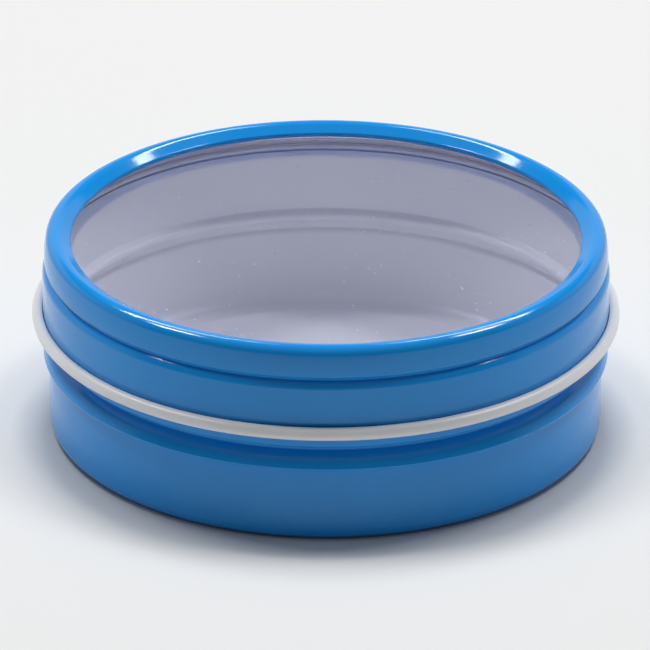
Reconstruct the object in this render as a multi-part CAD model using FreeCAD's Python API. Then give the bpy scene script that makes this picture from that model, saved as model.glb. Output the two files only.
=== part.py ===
import FreeCAD, Part
import math
import os

# A round slip-lid tin with a clear window: a base, a lid ring and a window pane.
# The base and the lid ring are drawn and rolled from lacquered tinplate, and the pane is a
# shallow cap formed from clear sheet. Each piece is one sheet of even thickness turned about
# the tin's axis, so it is drawn as the line of its outer face and then given its gauge.
# Millimetres, +Z up, origin at the centre of the ring that the tin stands on.

# Sheet stock
tinplate_gauge = 0.25
window_gauge = 0.40

# Clearances between the pieces
slip_clearance = 0.25  # lid skirt around the neck of the base, on each side
rest_clearance = 0.08  # shoulder of the lid's groove above the edge of the neck
window_side_clearance = 0.16  # pane inside the rim of the lid, on each side
window_seat_clearance = 0.05  # foot of the pane above the roof of the lid's groove

# Base, from the middle of its floor to the edge of its neck
panel_radius = 27.60
panel_rise = 0.60
panel_slope_width = 0.80
panel_bend = 0.70
body_radius = 32.40
foot_bend = 1.40
body_height = 8.95
bead_projection = 0.76
bead_foot_height = 0.25
bead_face_height = 1.05
bead_face_lean = 0.41  # inwards, from its foot to its top
bead_roof_height = 0.97
bead_foot_bend = 0.25
bead_edge_bend = 0.30
bead_roof_bend = 2.00
neck_groove_depth = 1.00  # below the neck
neck_groove_face_height = 0.30
neck_groove_bend = 0.25
neck_radius = 32.60
neck_flare_height = 0.43
neck_flare_bend = 0.50
neck_height = 7.825

# Lid ring, from the hem round its window to the curl at its mouth
rim_inset = 0.24  # rim inside the skirt, on each side
rim_height = 3.43
rim_drop = 2.19  # from the top of the rim to the pane
rim_width = 3.11
rim_crown_width = 1.76  # from the inner side of the crown to the outer face
rim_slope_height = 0.85
rim_crown_bend = 1.45
rim_outer_bend = 1.15
rim_face_height = 1.55
rim_face_lean = 0.36  # inwards, above the upright part of the face
rim_face_bend = 8.00
hem_height = 0.56
hem_width = 1.20
hem_bend = 0.28
lid_groove_depth = 0.44  # below the rim
lid_groove_roof_height = 0.40
lid_groove_face_height = 0.15
lid_groove_shoulder_height = 0.50
lid_groove_roof_bend = 0.40
lid_groove_root_bend = 0.15
lid_groove_shoulder_bend = 1.10
skirt_height = 6.39
curl_radius = 0.75
curl_gap = 0.07  # end of the curl off the skirt

# Window pane
window_bend = 0.70

# Which side of its path a sheet lies on, looking along the path
LEFT = 1
RIGHT = -1
FULL_TURN = 360
THREE_QUARTER_TURN = 270
NEGLIGIBLE_LENGTH = 1e-7
bent_run_share = 0.98  # most of a straight run that the bends at its ends may take up


def slope_offset(rise, run):
    """How far, up or down, the inner face of a sloping tinplate sheet lies from the outer."""
    return tinplate_gauge * math.hypot(rise, run) / run


# Radii and heights that follow from the sizes above
bead_radius = body_radius + bead_projection
neck_groove_radius = neck_radius - neck_groove_depth
bead_face_bottom = body_height + bead_foot_height
bead_face_top = bead_face_bottom + bead_face_height
neck_groove_bottom = bead_face_top + bead_roof_height
neck_groove_top = neck_groove_bottom + neck_groove_face_height
neck_bottom = neck_groove_top + neck_flare_height
neck_top = neck_bottom + neck_height

skirt_radius = neck_radius + slip_clearance + tinplate_gauge
rim_radius = skirt_radius - rim_inset
lid_groove_radius = rim_radius - lid_groove_depth
shoulder_width = skirt_radius - lid_groove_radius
shoulder_over_neck = (skirt_radius - neck_radius) * lid_groove_shoulder_height / shoulder_width
shoulder_underside = slope_offset(lid_groove_shoulder_height, shoulder_width)
skirt_top = neck_top + rest_clearance - shoulder_over_neck + shoulder_underside
curl_bottom = skirt_top - skirt_height
lid_groove_bottom = skirt_top + lid_groove_shoulder_height
lid_groove_top = lid_groove_bottom + lid_groove_face_height
rim_bottom = lid_groove_top + lid_groove_roof_height
rim_top = rim_bottom + rim_height

window_radius = rim_radius - tinplate_gauge - window_side_clearance
window_top = rim_top - rim_drop
roof_under_pane = (rim_radius - window_radius) * lid_groove_roof_height / lid_groove_depth
roof_upper_side = slope_offset(lid_groove_roof_height, lid_groove_depth)
window_foot = rim_bottom - roof_under_pane + roof_upper_side + window_seat_clearance


def left_of(heading):
    """The unit vector to the left of a heading in the plane of the section."""
    return FreeCAD.Vector(-heading.z, 0, heading.x)


def turn_between(heading, leaving):
    """The angle from one heading to the next, positive to the left."""
    return math.atan2(left_of(heading).dot(leaving), heading.dot(leaving))


def turned(place, centre, turn):
    """A place turned about a centre in the plane of the section, positive to the left."""
    arm = place - centre
    return centre + arm * math.cos(turn) + left_of(arm) * math.sin(turn)


def rounded_path(corners, end_radius=0, end_turn=0):
    """Lines and tangent arcs through corners of (radius, height, bend), with an end curl.

    The first and the last corner are ends and have no bend. A bend is limited by the runs
    beside it. The end curl turns on from the last run by an angle in degrees, positive to the
    left. Each item of the path is (start, end, centre, turn), and a line has no centre.
    """
    places = [FreeCAD.Vector(radius, 0, height) for radius, height, bend in corners]
    runs = [after - place for place, after in zip(places, places[1:])]
    headings = [FreeCAD.Vector(run).normalize() for run in runs]
    turns = [turn_between(*pair) for pair in zip(headings, headings[1:])]
    tangents = [math.tan(abs(turn) / 2) for turn in turns]
    reaches = [corner[2] * tangent for corner, tangent in zip(corners[1:], tangents)]
    room_shares = [
        min(1, bent_run_share * run.Length / max(sum(pair), NEGLIGIBLE_LENGTH))
        for run, pair in zip(runs, zip([0] + reaches, reaches + [0]))
    ]
    items = []
    start = places[0]
    for index, turn in enumerate(turns):
        reach = reaches[index] * min(room_shares[index], room_shares[index + 1])
        place = places[index + 1]
        arc_start = place - headings[index] * reach
        arc_end = place + headings[index + 1] * reach
        bend = reach / tangents[index]
        centre = arc_start + left_of(headings[index]) * math.copysign(bend, turn)
        items.append((start, arc_start, None, 0))
        items.append((arc_start, arc_end, centre, turn))
        start = arc_end
    items.append((start, places[-1], None, 0))
    if end_turn:
        turn = math.radians(end_turn)
        centre = places[-1] + left_of(headings[-1]) * math.copysign(end_radius, turn)
        items.append((places[-1], turned(places[-1], centre, turn), centre, turn))
    return [item for item in items if (item[1] - item[0]).Length > NEGLIGIBLE_LENGTH]


def moved_left(item, distance):
    """A path item moved to its left by a distance, which widens or narrows an arc."""
    start, end, centre, turn = item
    if centre is None:
        aside = left_of((end - start).normalize()) * distance
        return start + aside, end + aside, None, 0
    radius = (start - centre).Length
    share = 1 - math.copysign(distance / radius, distance * turn)
    return centre + (start - centre) * share, centre + (end - centre) * share, centre, turn


def edge_of(item):
    """The line or arc edge of a path item."""
    start, end, centre, turn = item
    if centre is None:
        return Part.LineSegment(start, end).toShape()
    return Part.Arc(start, turned(start, centre, turn / 2), end).toShape()


def turned_sheet(path, gauge, side):
    """The solid of a sheet whose outer face follows a path, turned about the tin's axis."""
    inner_path = [moved_left(item, side * gauge) for item in path]
    edges = [edge_of(item) for item in path + inner_path]
    edges.append(Part.LineSegment(path[0][0], inner_path[0][0]).toShape())
    edges.append(Part.LineSegment(path[-1][1], inner_path[-1][1]).toShape())
    section = Part.Face(Part.Wire(Part.__sortEdges__(edges)))
    sheet = section.revolve(FreeCAD.Vector(0, 0, 0), FreeCAD.Vector(0, 0, 1), FULL_TURN)
    if sheet.Volume < 0:
        sheet.reverse()
    return sheet


def base_tin():
    """Drawn base: raised floor panel, wall, bead, groove and the neck that the lid slips over."""
    corners = [
        (0, panel_rise, 0),
        (panel_radius, panel_rise, panel_bend),
        (panel_radius + panel_slope_width, 0, panel_bend),
        (body_radius, 0, foot_bend),
        (body_radius, body_height, bead_foot_bend),
        (bead_radius, bead_face_bottom, bead_edge_bend),
        (bead_radius - bead_face_lean, bead_face_top, bead_roof_bend),
        (neck_groove_radius, neck_groove_bottom, neck_groove_bend),
        (neck_groove_radius, neck_groove_top, neck_groove_bend),
        (neck_radius, neck_bottom, neck_flare_bend),
        (neck_radius, neck_top, 0),
    ]
    return turned_sheet(rounded_path(corners), tinplate_gauge, LEFT)


def lid_ring():
    """Drawn ring: hemmed rim over the pane, groove that holds it, skirt and outward curl."""
    hem_radius = rim_radius - rim_width
    hem_top = rim_top - rim_slope_height
    hem_bottom = hem_top - hem_height
    corners = [
        (hem_radius + hem_width, hem_bottom, 0),
        (hem_radius, hem_bottom, hem_bend),
        (hem_radius, hem_top, hem_bend),
        (rim_radius - rim_crown_width, rim_top, rim_crown_bend),
        (rim_radius - rim_face_lean, rim_top, rim_outer_bend),
        (rim_radius, rim_bottom + rim_face_height, rim_face_bend),
        (rim_radius, rim_bottom, lid_groove_roof_bend),
        (lid_groove_radius, lid_groove_top, lid_groove_root_bend),
        (lid_groove_radius, lid_groove_bottom, lid_groove_root_bend),
        (skirt_radius, skirt_top, lid_groove_shoulder_bend),
        (skirt_radius, curl_bottom + curl_radius, 0),
    ]
    curl_bore_radius = curl_radius - tinplate_gauge
    tuck = math.degrees(math.asin((curl_bore_radius - curl_gap) / curl_radius))
    path = rounded_path(corners, curl_bore_radius, THREE_QUARTER_TURN + tuck)
    return turned_sheet(path, tinplate_gauge, RIGHT)


def window_pane():
    """Clear cap: a flat pane under the rim, with its edge turned down onto the lid's groove."""
    corners = [
        (0, window_top, 0),
        (window_radius, window_top, window_bend),
        (window_radius, window_foot, 0),
    ]
    return turned_sheet(rounded_path(corners), window_gauge, RIGHT)


def main():
    """Builds each piece and writes it to its own file."""
    os.makedirs("parts", exist_ok=True)
    for make in (base_tin, lid_ring, window_pane):
        piece = make()
        piece.exportStep(f"parts/{make.__name__}.step")
        box = piece.optimalBoundingBox()
        print(f"{make.__name__}: valid {piece.isValid()}, solids {len(piece.Solids)}")
        print(f"  volume {piece.Volume:.1f}, across {box.XLength:.2f}, z {box.ZMin:.2f} to {box.ZMax:.2f}")


main()
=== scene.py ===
import math

import bpy
from mathutils import Matrix, Vector


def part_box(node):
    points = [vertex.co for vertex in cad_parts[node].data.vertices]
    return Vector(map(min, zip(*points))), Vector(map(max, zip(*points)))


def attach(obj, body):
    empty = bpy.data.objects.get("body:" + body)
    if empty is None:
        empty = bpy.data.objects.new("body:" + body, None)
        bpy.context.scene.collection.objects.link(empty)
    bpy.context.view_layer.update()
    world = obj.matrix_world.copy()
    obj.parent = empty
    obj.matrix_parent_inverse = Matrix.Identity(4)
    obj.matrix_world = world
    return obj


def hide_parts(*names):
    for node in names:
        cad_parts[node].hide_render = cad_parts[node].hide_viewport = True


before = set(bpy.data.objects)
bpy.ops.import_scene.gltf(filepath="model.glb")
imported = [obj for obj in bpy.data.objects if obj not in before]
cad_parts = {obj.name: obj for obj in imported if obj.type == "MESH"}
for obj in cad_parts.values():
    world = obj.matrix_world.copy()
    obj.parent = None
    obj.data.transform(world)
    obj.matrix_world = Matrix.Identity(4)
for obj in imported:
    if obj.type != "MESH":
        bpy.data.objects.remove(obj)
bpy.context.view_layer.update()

# A round slip-lid tin with a clear window, dressed around its three solids.
# Each piece is one sheet turned about the tin's axis. Its section is drawn in millimetres as
# (radius, height, bend) corners of the outer face, and the sheet then gets its gauge.

MM = 0.001
AROUND = 240  # steps round the tin
ARC_STEP = math.radians(7.5)
LEFT = 1  # which side of its path a sheet lies on
RIGHT = -1
NO_LENGTH = 1e-7
LEAST_ARC_STEPS = 2
THREE_QUARTER_TURN = 270
OUTER, INNER, CUT = 0, 1, 2  # faces of a sheet, and the order of its materials

# Sizes that the frame gives, in millimetres
base_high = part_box("base_tin")[1] / MM
lid_low, lid_high = (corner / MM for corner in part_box("lid_ring"))
pane_low, pane_high = (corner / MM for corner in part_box("window_pane"))

# Sheet stock and clearances
tinplate_gauge = 0.25
window_gauge = 0.40
slip_clearance = 0.25  # lid skirt around the neck of the base, on each side

# Base
panel_radius = 27.60
panel_rise = 0.60
panel_slope_width = 0.80
panel_bend = 0.70
foot_bend = 1.40
body_inset = 0.20  # wall inside the neck, on each side
bead_projection = 0.76
bead_foot_height = 0.25
bead_face_height = 1.05
bead_face_lean = 0.41  # inwards, from its foot to its top
bead_roof_height = 0.97
bead_foot_bend = 0.25
bead_edge_bend = 0.30
bead_roof_bend = 2.00
neck_groove_depth = 1.00  # below the neck
neck_groove_face_height = 0.30
neck_groove_bend = 0.25
neck_flare_height = 0.43
neck_flare_bend = 0.50
neck_height = 7.825

# Lid ring
rim_inset = 0.24  # rim inside the skirt, on each side
rim_height = 3.43
rim_width = 3.11
rim_crown_width = 1.76  # from the inner side of the crown to the outer face
rim_slope_height = 0.85
rim_crown_bend = 1.45
rim_outer_bend = 1.15
rim_face_height = 1.55
rim_face_lean = 0.36  # inwards, above the upright part of the face
rim_face_bend = 8.00
hem_height = 0.56
hem_width = 1.20
hem_bend = 0.28
lid_groove_depth = 0.44  # below the rim
lid_groove_roof_height = 0.40
lid_groove_face_height = 0.15
lid_groove_shoulder_height = 0.50
lid_groove_roof_bend = 0.40
lid_groove_root_bend = 0.15
lid_groove_shoulder_bend = 1.10
curl_radius = 0.75
curl_gap = 0.07  # end of the curl off the skirt

# Window pane
window_bend = 0.70


def left_of(heading):
    """The unit vector to the left of a heading in the plane of the section."""
    return Vector((-heading.y, heading.x))


def turned(arm, turn):
    """An arm turned in the plane of the section, positive to the left."""
    return arm * math.cos(turn) + left_of(arm) * math.sin(turn)


def arc_steps(start, heading, radius, turn):
    """(place, heading) along an arc that sets off from start along heading."""
    centre = start + left_of(heading) * math.copysign(radius, turn)
    count = max(LEAST_ARC_STEPS, math.ceil(abs(turn) / ARC_STEP))
    angles = [turn * step / count for step in range(count + 1)]
    return [(centre + turned(start - centre, angle), turned(heading, angle)) for angle in angles]


def rounded_path(corners, end_radius=0, end_turn=0):
    """(place, heading) along lines and tangent arcs through the corners, with an end curl."""
    places = [Vector(corner[:2]) for corner in corners]
    runs = [after - place for place, after in zip(places, places[1:])]
    headings = [run.normalized() for run in runs]
    steps = [(places[0], headings[0])]
    for index, (before, after) in enumerate(zip(headings, headings[1:])):
        turn = math.atan2(left_of(before).dot(after), before.dot(after))
        bend = corners[index + 1][2]
        start = places[index + 1] - before * bend * math.tan(abs(turn) / 2)
        steps += arc_steps(start, before, bend, turn)
    if end_turn:
        steps += arc_steps(places[-1], headings[-1], end_radius, math.radians(end_turn))
    else:
        steps.append((places[-1], headings[-1]))
    return steps


def sheet_section(path, gauge, side):
    """The closed section of a sheet as [(start, start normal, end, end normal, face)]."""
    outer = [(place, left_of(heading) * -side) for place, heading in path]
    inner = [(place - normal * gauge, -normal) for place, normal in reversed(outer)]
    strips = [(*here, *after, OUTER) for here, after in zip(outer, outer[1:])]
    end_normal = path[-1][1]
    strips.append((outer[-1][0], end_normal, inner[0][0], end_normal, CUT))
    strips += [(*here, *after, INNER) for here, after in zip(inner, inner[1:])]
    start_normal = -path[0][1]
    strips.append((inner[-1][0], start_normal, outer[0][0], start_normal, CUT))
    strips = [strip for strip in strips if (strip[2] - strip[0]).length > NO_LENGTH]
    return [strip for strip in strips if max(strip[0].x, strip[2].x) > NO_LENGTH]


def turned_mesh(name, strips, materials):
    """A mesh of the section's strips turned about the tin's axis, with true normals."""
    rings = {}
    vertices = []
    faces = []
    normals = []
    face_materials = []
    angles = [math.tau * step / AROUND for step in range(AROUND)]
    spokes = [(math.cos(angle), math.sin(angle)) for angle in angles]

    def ring_of(place):
        key = (round(place.x / NO_LENGTH), round(place.y / NO_LENGTH))
        if key not in rings:
            first = len(vertices)
            on_axis = place.x < NO_LENGTH
            rings[key] = [first if on_axis else first + step for step in range(AROUND)]
            for cosine, sine in spokes[: 1 if on_axis else AROUND]:
                vertices.append((place.x * cosine * MM, place.x * sine * MM, place.y * MM))
        return rings[key]

    area = sum(start.cross(end) for start, _, end, _, _ in strips)
    for start, start_normal, end, end_normal, face in strips:
        start_ring, end_ring = ring_of(start), ring_of(end)
        for step in range(AROUND):
            after = (step + 1) % AROUND
            corners = [
                (start_ring[step], start_normal, step),
                (start_ring[after], start_normal, after),
                (end_ring[after], end_normal, after),
                (end_ring[step], end_normal, step),
            ]
            if start_ring[step] == start_ring[after]:
                corners = [corners[0], corners[2], corners[3]]
            elif end_ring[step] == end_ring[after]:
                corners = corners[:3]
            if area < 0:
                corners.reverse()
            faces.append([corner[0] for corner in corners])
            for _, normal, spoke in corners:
                cosine, sine = spokes[spoke]
                normals.append((normal.x * cosine, normal.x * sine, normal.y))
            face_materials.append(face)
    mesh = bpy.data.meshes.new(name)
    mesh.from_pydata(vertices, [], faces, shade_flat=False)
    for material in materials:
        mesh.materials.append(material)
    mesh.polygons.foreach_set("material_index", face_materials)
    mesh.normals_split_custom_set(normals)
    mesh.update()
    return mesh


def add_piece(name, node, body, strips, materials):
    """A piece that stands for a node, rides on its body and takes a slot's finish."""
    piece = bpy.data.objects.new(name, turned_mesh(name, strips, materials))
    bpy.context.scene.collection.objects.link(piece)
    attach(piece, body)
    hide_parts(node)


# Materials, with colours in linear light, sizes in metres and the least and most of what drifts

noise_span = (0.3, 0.7)  # the part of the noise that a drift runs over
noise_detail = 2.0
bump_strength = 0.5

blue_shades = ((0.0045, 0.268, 0.735), (0.0055, 0.286, 0.765))
blue_shade_patch = 0.012
blue_roughness = (0.07, 0.11)
blue_roughness_patch = 0.006
blue_index = 1.46
orange_peel_size = 0.0009
orange_peel_depth = 0.000004

white_shades = ((0.79, 0.79, 0.805), (0.82, 0.82, 0.83))
white_shade_patch = 0.010
white_roughness = (0.32, 0.42)
white_roughness_patch = 0.004
white_index = 1.50
white_grain_size = 0.0008
white_grain_depth = 0.000006

tin_shades = ((0.52, 0.53, 0.55), (0.66, 0.66, 0.67))
tin_shade_patch = 0.0015
tin_roughness = (0.28, 0.45)
tin_roughness_patch = 0.0006

window_tint = (0.93, 0.93, 0.975, 1)
window_light_tint = (0.93, 0.93, 0.965, 1)  # of the light that comes through to the inside
window_index = 1.50
window_sheen = 0.5
window_sheen_roughness = 0.5
window_sheen_tint = (0.25, 0.30, 1.0, 1)
window_haze = (0.0, 0.03)
window_haze_patch = 0.008
speck_spacing = 0.0016
speck_roughness = 0.8
speck_edge_shares = (0.05, 0.10)  # of the spacing, where a speck starts to fade and where it ends
dusty_patch = 0.007
dusty_span = (0.49, 0.57)

table_shades = ((0.81, 0.81, 0.80), (0.82, 0.82, 0.81))
table_shade_patch = 0.2
table_roughness = 0.6
table_specular = 0.2


class Shading:
    """A new material with its nodes, and short ways to add and join them."""

    def __init__(self, name):
        self.material = bpy.data.materials.new(name)
        self.material.use_nodes = True
        self.tree = self.material.node_tree
        self.shader = self.tree.nodes["Principled BSDF"]
        self.output = self.tree.nodes["Material Output"]
        self.place = self.add("ShaderNodeTexCoord").outputs["Object"]

    def add(self, kind, **settings):
        """A new node with its settings."""
        node = self.tree.nodes.new(kind)
        for name, value in settings.items():
            setattr(node, name, value)
        return node

    def join(self, source, target):
        """A link from an output to an input."""
        self.tree.links.new(source, target)

    def set(self, **values):
        """Constant values of the surface shader."""
        for name, value in values.items():
            self.shader.inputs[name.replace("_", " ")].default_value = value

    def noise(self, patch):
        """Noise over the object whose patches are about a size in metres."""
        node = self.add("ShaderNodeTexNoise")
        node.inputs["Scale"].default_value = 1 / patch
        node.inputs["Detail"].default_value = noise_detail
        self.join(self.place, node.inputs["Vector"])
        return node.outputs["Fac"]

    def range(self, source, low, high, span=noise_span):
        """A span of a source spread from low to high."""
        node = self.add("ShaderNodeMapRange")
        node.inputs["From Min"].default_value = span[0]
        node.inputs["From Max"].default_value = span[1]
        node.inputs["To Min"].default_value = low
        node.inputs["To Max"].default_value = high
        self.join(source, node.inputs["Value"])
        return node.outputs["Result"]

    def blend(self, factor, first, second):
        """A colour between two colours."""
        node = self.add("ShaderNodeMix", data_type="RGBA")
        for socket in node.inputs:
            if socket.identifier == "A_Color":
                socket.default_value = (*first, 1)
            if socket.identifier == "B_Color":
                socket.default_value = (*second, 1)
        self.join(factor, node.inputs["Factor"])
        return next(socket for socket in node.outputs if socket.identifier == "Result_Color")

    def combine(self, operation, first, second):
        """A sum, product or the like of two sources."""
        node = self.add("ShaderNodeMath", operation=operation)
        self.join(first, node.inputs[0])
        self.join(second, node.inputs[1])
        return node.outputs["Value"]

    def shade(self, shades, patch):
        """Base colour that drifts between two shades."""
        drift = self.range(self.noise(patch), 0, 1)
        self.join(self.blend(drift, *shades), self.shader.inputs["Base Color"])

    def gloss(self, roughness, patch):
        """Roughness that drifts between two levels."""
        self.join(self.range(self.noise(patch), *roughness), self.shader.inputs["Roughness"])

    def grain(self, size, depth):
        """Fine bumps of a size and a depth."""
        node = self.add("ShaderNodeBump")
        node.inputs["Strength"].default_value = bump_strength
        node.inputs["Distance"].default_value = depth
        self.join(self.noise(size), node.inputs["Height"])
        self.join(node.outputs["Normal"], self.shader.inputs["Normal"])


def blue_lacquer():
    """Glossy stoved enamel, with a faint orange peel and a slight drift of shade."""
    shading = Shading("blue_lacquer")
    shading.shade(blue_shades, blue_shade_patch)
    shading.gloss(blue_roughness, blue_roughness_patch)
    shading.grain(orange_peel_size, orange_peel_depth)
    shading.set(IOR=blue_index)
    return shading.material


def white_lacquer():
    """Satin white inner lacquer with a cool cast."""
    shading = Shading("white_lacquer")
    shading.shade(white_shades, white_shade_patch)
    shading.gloss(white_roughness, white_roughness_patch)
    shading.grain(white_grain_size, white_grain_depth)
    shading.set(IOR=white_index)
    return shading.material


def bare_edge():
    """Bright tinplate where the sheet is cut."""
    shading = Shading("bare_edge")
    shading.shade(tin_shades, tin_shade_patch)
    shading.gloss(tin_roughness, tin_roughness_patch)
    shading.set(Metallic=1.0)
    return shading.material


def dusty_haze(shading):
    """Roughness of the window: a faint haze, and specks of dust where patches are dusty."""
    haze = shading.range(shading.noise(window_haze_patch), *window_haze)
    specks = shading.add("ShaderNodeTexVoronoi")
    specks.inputs["Scale"].default_value = 1 / speck_spacing
    shading.join(shading.place, specks.inputs["Vector"])
    dust = shading.range(specks.outputs["Distance"], speck_roughness, 0.0, speck_edge_shares)
    dusty = shading.range(shading.noise(dusty_patch), 0, 1, dusty_span)
    return shading.combine("MAXIMUM", haze, shading.combine("MULTIPLY", dust, dusty))


def clear_window():
    """Clear sheet with a faint cool tint that lets light through to the inside."""
    shading = Shading("clear_window")
    shading.set(Base_Color=window_tint, IOR=window_index, Transmission_Weight=1.0)
    shading.set(Sheen_Weight=window_sheen, Sheen_Roughness=window_sheen_roughness)
    shading.set(Sheen_Tint=window_sheen_tint)
    shading.join(dusty_haze(shading), shading.shader.inputs["Roughness"])
    clear = shading.add("ShaderNodeBsdfTransparent")
    clear.inputs["Color"].default_value = window_light_tint
    rays = shading.add("ShaderNodeLightPath").outputs
    passing = shading.combine("MAXIMUM", rays["Is Shadow Ray"], rays["Is Diffuse Ray"])
    mixed = shading.add("ShaderNodeMixShader")
    shading.join(passing, mixed.inputs["Fac"])
    shading.join(shading.shader.outputs["BSDF"], mixed.inputs[1])
    shading.join(clear.outputs["BSDF"], mixed.inputs[2])
    shading.join(mixed.outputs["Shader"], shading.output.inputs["Surface"])
    return shading.material


def pale_table():
    """The smooth pale table that the tin stands on."""
    shading = Shading("pale_table")
    shading.shade(table_shades, table_shade_patch)
    shading.set(Roughness=table_roughness, Specular_IOR_Level=table_specular)
    return shading.material


# Pieces


def base_strips():
    """Raised floor panel, wall, bead, groove and the neck that the lid slips over."""
    neck_radius = lid_high.x - 2 * curl_radius - slip_clearance
    neck_top = base_high.z
    neck_groove_radius = neck_radius - neck_groove_depth
    body_radius = neck_radius - body_inset
    bead_radius = body_radius + bead_projection
    neck_bottom = neck_top - neck_height
    neck_groove_top = neck_bottom - neck_flare_height
    neck_groove_bottom = neck_groove_top - neck_groove_face_height
    bead_face_top = neck_groove_bottom - bead_roof_height
    bead_face_bottom = bead_face_top - bead_face_height
    body_height = bead_face_bottom - bead_foot_height
    corners = [
        (0, panel_rise, 0),
        (panel_radius, panel_rise, panel_bend),
        (panel_radius + panel_slope_width, 0, panel_bend),
        (body_radius, 0, foot_bend),
        (body_radius, body_height, bead_foot_bend),
        (bead_radius, bead_face_bottom, bead_edge_bend),
        (bead_radius - bead_face_lean, bead_face_top, bead_roof_bend),
        (neck_groove_radius, neck_groove_bottom, neck_groove_bend),
        (neck_groove_radius, neck_groove_top, neck_groove_bend),
        (neck_radius, neck_bottom, neck_flare_bend),
        (neck_radius, neck_top, 0),
    ]
    return sheet_section(rounded_path(corners), tinplate_gauge, LEFT)


def lid_strips():
    """Hemmed rim over the pane, the groove that holds it, skirt and outward curl."""
    skirt_radius = lid_high.x - 2 * curl_radius + tinplate_gauge
    rim_radius = skirt_radius - rim_inset
    rim_top = lid_high.z
    rim_bottom = rim_top - rim_height
    lid_groove_radius = rim_radius - lid_groove_depth
    lid_groove_top = rim_bottom - lid_groove_roof_height
    lid_groove_bottom = lid_groove_top - lid_groove_face_height
    skirt_top = lid_groove_bottom - lid_groove_shoulder_height
    hem_radius = rim_radius - rim_width
    hem_top = rim_top - rim_slope_height
    hem_bottom = hem_top - hem_height
    corners = [
        (hem_radius + hem_width, hem_bottom, 0),
        (hem_radius, hem_bottom, hem_bend),
        (hem_radius, hem_top, hem_bend),
        (rim_radius - rim_crown_width, rim_top, rim_crown_bend),
        (rim_radius - rim_face_lean, rim_top, rim_outer_bend),
        (rim_radius, rim_bottom + rim_face_height, rim_face_bend),
        (rim_radius, rim_bottom, lid_groove_roof_bend),
        (lid_groove_radius, lid_groove_top, lid_groove_root_bend),
        (lid_groove_radius, lid_groove_bottom, lid_groove_root_bend),
        (skirt_radius, skirt_top, lid_groove_shoulder_bend),
        (skirt_radius, lid_low.z + curl_radius, 0),
    ]
    curl_bore_radius = curl_radius - tinplate_gauge
    tuck = math.degrees(math.asin((curl_bore_radius - curl_gap) / curl_radius))
    path = rounded_path(corners, curl_bore_radius, THREE_QUARTER_TURN + tuck)
    return sheet_section(path, tinplate_gauge, RIGHT)


def pane_strips():
    """A flat pane under the rim, with its edge turned down onto the lid's groove."""
    corners = [
        (0, pane_high.z, 0),
        (pane_high.x, pane_high.z, window_bend),
        (pane_high.x, pane_low.z, 0),
    ]
    return sheet_section(rounded_path(corners), window_gauge, RIGHT)


lacquered = [blue_lacquer(), white_lacquer(), bare_edge()]
add_piece("tin_base", "base_tin", "base", base_strips(), lacquered)
add_piece("tin_lid", "lid_ring", "lid", lid_strips(), lacquered)
window = clear_window()
add_piece("tin_window", "window_pane", "lid", pane_strips(), [window] * len(lacquered))

# Table, in metres

table_half_width = 2.5
table_drop = 0.00005  # under the foot of the tin


def add_table():
    """A wide flat table top just under the tin."""
    mesh = bpy.data.meshes.new("table")
    reach = table_half_width
    corners = [(-reach, -reach), (reach, -reach), (reach, reach), (-reach, reach)]
    mesh.from_pydata([(x, y, -table_drop) for x, y in corners], [], [(0, 1, 2, 3)])
    mesh.materials.append(pale_table())
    table = bpy.data.objects.new("table", mesh)
    bpy.context.scene.collection.objects.link(table)
    return table


table = add_table()

# Camera, in metres and degrees, with the lens and the sensor in millimetres

camera_distance = 0.816
camera_elevation = 25.2
camera_roll = 0.26
camera_aim = Vector((-0.000094, 0, 0.01194))
camera_lens = 385.9
sensor_width = 36


def add_camera():
    """A long lens in front of the tin, looking a little down on it."""
    camera = bpy.data.cameras.new("camera")
    camera.lens = camera_lens
    camera.sensor_width = sensor_width
    tilt = math.radians(camera_elevation)
    back = Vector((0, -math.cos(tilt), math.sin(tilt)))
    up = Vector((0, math.sin(tilt), math.cos(tilt)))
    facing = Matrix((Vector((1, 0, 0)), up, back)).transposed().to_4x4()
    viewer = bpy.data.objects.new("camera", camera)
    place = Matrix.Translation(camera_aim + back * camera_distance)
    viewer.matrix_world = place @ facing @ Matrix.Rotation(math.radians(camera_roll), 4, "Z")
    bpy.context.scene.collection.objects.link(viewer)
    bpy.context.scene.camera = viewer


add_camera()

# Lights

light_distance = 1.0

# Softboxes: azimuth and elevation in degrees, width and height in metres, and radiance.
# Two light the tin alone and two the table alone, and all but the last stand on both sides.
back_softbox = (33, 52, 0.64, 0.08, 17.0)
side_softbox = (75, 59, 0.17, 0.20, 31.0)
table_softbox = (70, 70, 0.24, 0.24, 13.0)
back_table_softbox = (0, 76, 0.30, 0.30, 16.0)

# Surroundings: levels of light, elevations in degrees and parts of a unit direction
backdrop_level = 0.55
backdrop_top = (25.5, 30)
backdrop_front = (-0.05, 0.40)
wall_level = 0.38
wall_top = (20, 46)
wall_inner_side = (0.62, 0.88)
wall_front = (-0.30, 0.02)
room_level = 0.07
ceiling_level = 0.24
ceiling_edge = (30, 65)
room_colour = (0.93, 0.96, 1.0, 1)
backdrop_colour = (1, 1, 1, 1)


def direction(azimuth, elevation):
    """A unit vector from the tin, azimuth 0 behind it and positive to the right."""
    azimuth, elevation = math.radians(azimuth), math.radians(elevation)
    flat = math.cos(elevation)
    return Vector((flat * math.sin(azimuth), flat * math.cos(azimuth), math.sin(elevation)))


def lit_objects(name, link_state):
    """A set that makes a light reach the table alone, or all but the table."""
    lit = bpy.data.collections.new(name)
    lit.objects.link(table)
    lit.collection_objects[0].light_linking.link_state = link_state
    return lit


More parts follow.
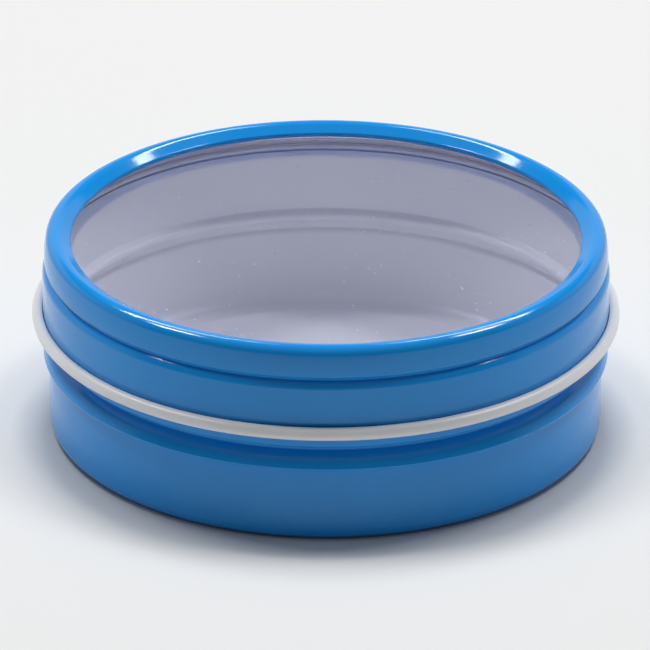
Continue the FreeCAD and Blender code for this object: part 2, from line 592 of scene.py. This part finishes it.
def add_softbox(name, lit, azimuth, elevation, width, height, radiance):
    """A rectangular light in a direction from the tin, facing it."""
    outward = direction(azimuth, elevation)
    across = Vector((0, 0, 1)).cross(outward).normalized()
    lamp = bpy.data.lights.new(name, "AREA")
    lamp.shape = "RECTANGLE"
    lamp.size = width
    lamp.size_y = height
    lamp.energy = radiance * math.pi * width * height
    facing = Matrix((across, outward.cross(across), outward)).transposed().to_4x4()
    box = bpy.data.objects.new(name, lamp)
    box.matrix_world = Matrix.Translation(outward * light_distance) @ facing
    box.light_linking.receiver_collection = lit
    bpy.context.scene.collection.objects.link(box)


def add_softbox_pair(name, lit, azimuth, *rest):
    """The same light on the left and on the right of the tin."""
    add_softbox(f"left_{name}", lit, -azimuth, *rest)
    add_softbox(f"right_{name}", lit, azimuth, *rest)


table_only = lit_objects("table_only", "INCLUDE")
tin_only = lit_objects("tin_only", "EXCLUDE")
add_softbox_pair("back_softbox", tin_only, *back_softbox)
add_softbox_pair("side_softbox", tin_only, *side_softbox)
add_softbox_pair("table_softbox", table_only, *table_softbox)
add_softbox("back_table_softbox", table_only, *back_table_softbox)


def add_surroundings():
    """A pale backdrop low behind the tin, pale walls beside it and a dim room with a ceiling."""
    world = bpy.data.worlds.new("room")
    world.use_nodes = True
    nodes, links = world.node_tree.nodes, world.node_tree.links
    towards = nodes.new("ShaderNodeTexCoord").outputs["Generated"]
    separate = nodes.new("ShaderNodeSeparateXYZ")
    links.new(towards, separate.inputs["Vector"])
    across, along, up = (separate.outputs[axis] for axis in "XYZ")

    def math_node(operation, *sources):
        node = nodes.new("ShaderNodeMath")
        node.operation = operation
        for source, socket in zip(sources, node.inputs):
            links.new(source, socket)
        return node.outputs["Value"]

    def fade(source, span, low, high):
        node = nodes.new("ShaderNodeMapRange")
        node.interpolation_type = "SMOOTHSTEP"
        node.inputs["From Min"].default_value = span[0]
        node.inputs["From Max"].default_value = span[1]
        node.inputs["To Min"].default_value = low
        node.inputs["To Max"].default_value = high
        links.new(source, node.inputs["Value"])
        return node.outputs["Result"]

    def heights(elevations):
        return [math.sin(math.radians(elevation)) for elevation in elevations]

    low_down = fade(up, heights(backdrop_top), backdrop_level, 0)
    behind = fade(along, backdrop_front, 0, 1)
    backdrop = math_node("MULTIPLY", low_down, behind)
    aside = fade(math_node("ABSOLUTE", across), wall_inner_side, 0, 1)
    beside_low = fade(up, heights(wall_top), wall_level, 0)
    not_in_front = fade(along, wall_front, 0, 1)
    walls = math_node("MULTIPLY", math_node("MULTIPLY", aside, beside_low), not_in_front)
    pale = nodes["Background"]
    pale.inputs["Color"].default_value = backdrop_colour
    links.new(math_node("MAXIMUM", backdrop, walls), pale.inputs["Strength"])
    dim = nodes.new("ShaderNodeBackground")
    dim.inputs["Color"].default_value = room_colour
    ceiling = fade(up, heights(ceiling_edge), room_level, ceiling_level)
    links.new(ceiling, dim.inputs["Strength"])
    both = nodes.new("ShaderNodeAddShader")
    links.new(pale.outputs["Background"], both.inputs[0])
    links.new(dim.outputs["Background"], both.inputs[1])
    links.new(both.outputs["Shader"], nodes["World Output"].inputs["Surface"])
    bpy.context.scene.world = world


add_surroundings()

bpy.context.scene.view_settings.view_transform = "Standard"
